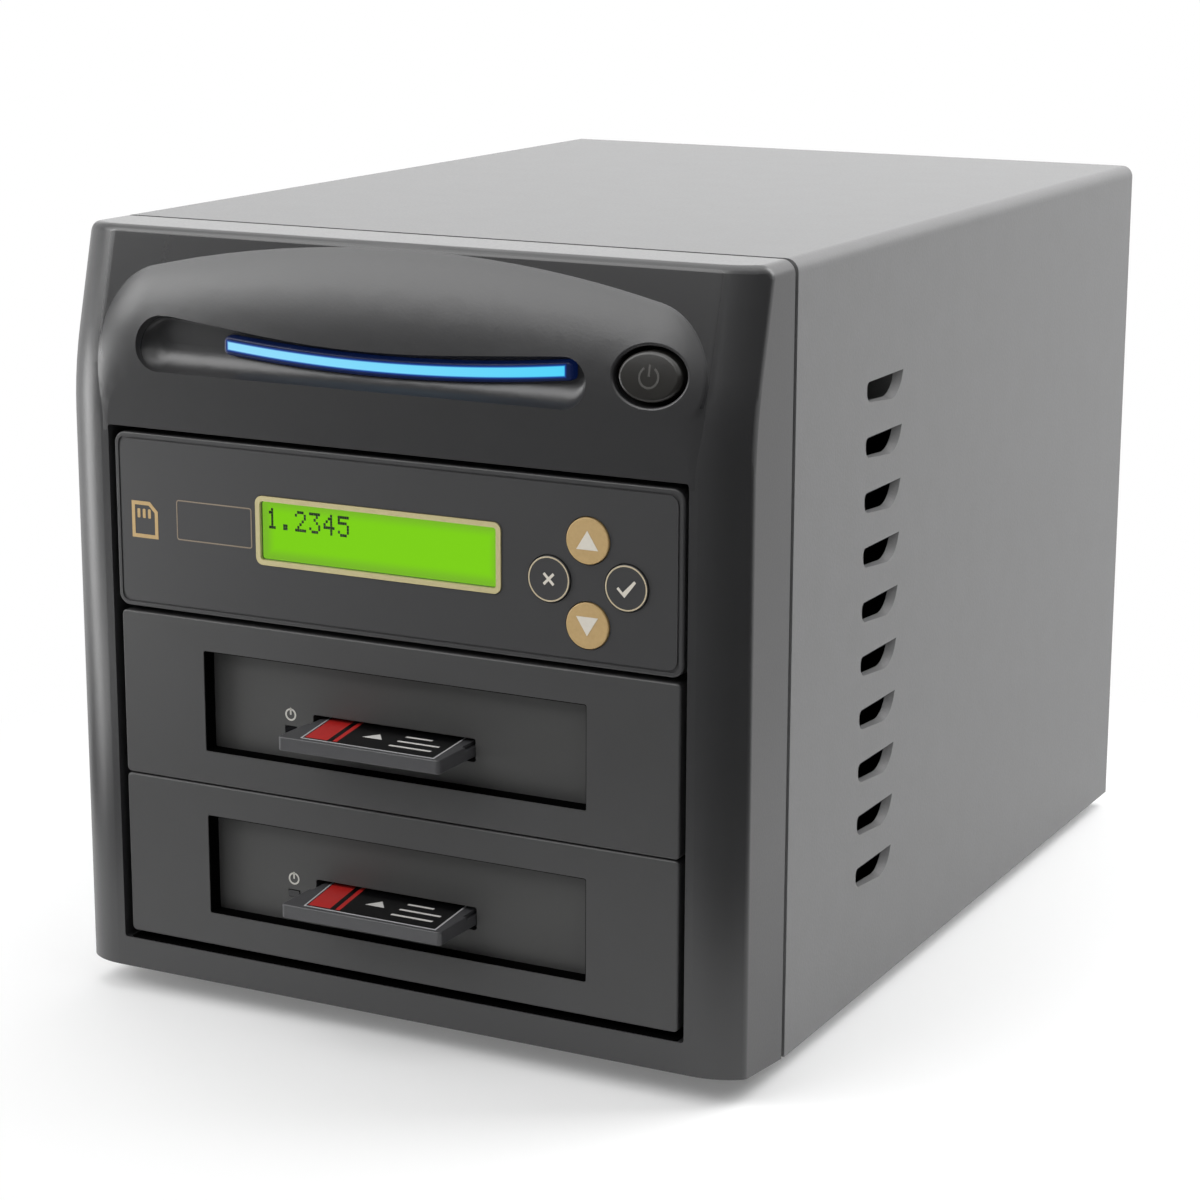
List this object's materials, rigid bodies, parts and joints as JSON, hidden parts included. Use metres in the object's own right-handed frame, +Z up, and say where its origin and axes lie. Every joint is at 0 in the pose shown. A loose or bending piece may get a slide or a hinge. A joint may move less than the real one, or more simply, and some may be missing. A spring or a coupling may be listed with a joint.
{
  "type": "memory card duplicator",
  "caption": "Desktop memory card duplicator: tower case with an arched front, lit bar, display panel with keys and card readers holding removable cards.",
  "frame": {"origin": "on the surface that the feet stand on, under the middle of the whole object", "axes": "+Z up, the front with the display and card slots faces -Y, +X to the right seen from the front"},
  "size_m": [0.1774, 0.274, 0.1875],
  "materials": {
    "case_paint": "fine powder coat, satin",
    "plated_steel": "zinc plated",
    "foot_rubber": "matt",
    "bezel_plastic": "fine moulded texture",
    "button_plastic": "moulded, satin",
    "light_acrylic": "clear acrylic, lit blue",
    "panel_plastic": "fine moulded texture",
    "reader_plastic": "fine moulded texture",
    "gold_print": "satin",
    "gold_key": "satin",
    "dark_key": "satin",
    "clear_pane": "clear",
    "display_glass": "backlit green",
    "lamp_lens": "smoked",
    "card_plastic": "moulded",
    "black_moulding": "moulded",
    "circuit_board": "solder mask",
    "pin_brass": "drawn",
    "guard_chrome": "bright",
    "screw_steel": "plated",
    "cable_jacket": "flat cable jacket"
  },
  "bodies": {
    "case": {"base_pan": "plated_steel", "bay_bracket_lower": "plated_steel", "bay_bracket_upper": "plated_steel", "bay_frame_lower": "panel_plastic", "bay_frame_upper": "panel_plastic", "bay_screws": "screw_steel", "cage_left": "plated_steel", "cage_right": "plated_steel", "card_socket_lower": "black_moulding", "card_socket_upper": "black_moulding", "case_fan_frame": "black_moulding", "controller_board": "circuit_board", "controller_tray": "plated_steel", "cover": "case_paint", "cover_screws": "screw_steel", "data_cable_lower": "cable_jacket", "data_cable_upper": "cable_jacket", "display_faceplate": "panel_plastic", "display_module": "display_glass", "display_trim": "gold_print", "display_window": "clear_pane", "fan_guard": "guard_chrome", "fan_screws": "screw_steel", "feet": "foot_rubber", "front_bezel": "bezel_plastic", "front_board": "circuit_board", "front_panel": "plated_steel", "inlet_pins": "pin_brass", "keypad_board": "circuit_board", "keypad_switches": "black_moulding", "light_bar": "light_acrylic", "mains_inlet": "black_moulding", "power_lead": "cable_jacket", "power_switch": "black_moulding", "reader_board_lower": "circuit_board", "reader_board_upper": "circuit_board", "reader_face_lower": "reader_plastic", "reader_face_upper": "reader_plastic", "reader_shell_lower": "plated_steel", "reader_shell_upper": "plated_steel", "rear_panel": "plated_steel", "status_lamp_lower": "lamp_lens", "status_lamp_upper": "lamp_lens", "supply_board": "circuit_board", "supply_case": "plated_steel", "supply_fan_frame": "black_moulding", "supply_lid": "plated_steel", "supply_shelf": "plated_steel"},
    "power_button": {"power_button": "button_plastic"},
    "key_up": {"key_up": "gold_key"},
    "key_down": {"key_down": "gold_key"},
    "key_escape": {"key_escape": "dark_key"},
    "key_confirm": {"key_confirm": "dark_key"},
    "memory_card_lower": {"memory_card_lower": "card_plastic"},
    "memory_card_upper": {"memory_card_upper": "card_plastic"},
    "case_fan_rotor": {"case_fan_rotor": "black_moulding"},
    "supply_fan_rotor": {"supply_fan_rotor": "black_moulding"}
  },
  "joints": [
    {"name": "power_press", "type": "slide", "parent": "case", "child": "power_button", "axis": [0, 1, 0], "range_m": [0, 0.0012], "stiffness_N_per_m": 1500},
    {"name": "key_up_press", "type": "slide", "parent": "case", "child": "key_up", "axis": [0, 1, 0], "range_m": [0, 0.0005], "stiffness_N_per_m": 2000},
    {"name": "key_down_press", "type": "slide", "parent": "case", "child": "key_down", "axis": [0, 1, 0], "range_m": [0, 0.0005], "stiffness_N_per_m": 2000},
    {"name": "key_escape_press", "type": "slide", "parent": "case", "child": "key_escape", "axis": [0, 1, 0], "range_m": [0, 0.0005], "stiffness_N_per_m": 2000},
    {"name": "key_confirm_press", "type": "slide", "parent": "case", "child": "key_confirm", "axis": [0, 1, 0], "range_m": [0, 0.0005], "stiffness_N_per_m": 2000},
    {"name": "card_lower_slide", "type": "slide", "parent": "case", "child": "memory_card_lower", "axis": [0, -1, 0], "range_m": [0, 0.03]},
    {"name": "card_upper_slide", "type": "slide", "parent": "case", "child": "memory_card_upper", "axis": [0, -1, 0], "range_m": [0, 0.03]},
    {"name": "case_fan_spin", "type": "hinge", "parent": "case", "child": "case_fan_rotor", "pos_m": [0, 0.12, 0.0781], "axis": [0, 1, 0], "continuous": true},
    {"name": "supply_fan_spin", "type": "hinge", "parent": "case", "child": "supply_fan_rotor", "pos_m": [-0.022, 0.12, 0.16335], "axis": [0, 1, 0], "continuous": true}
  ]
}
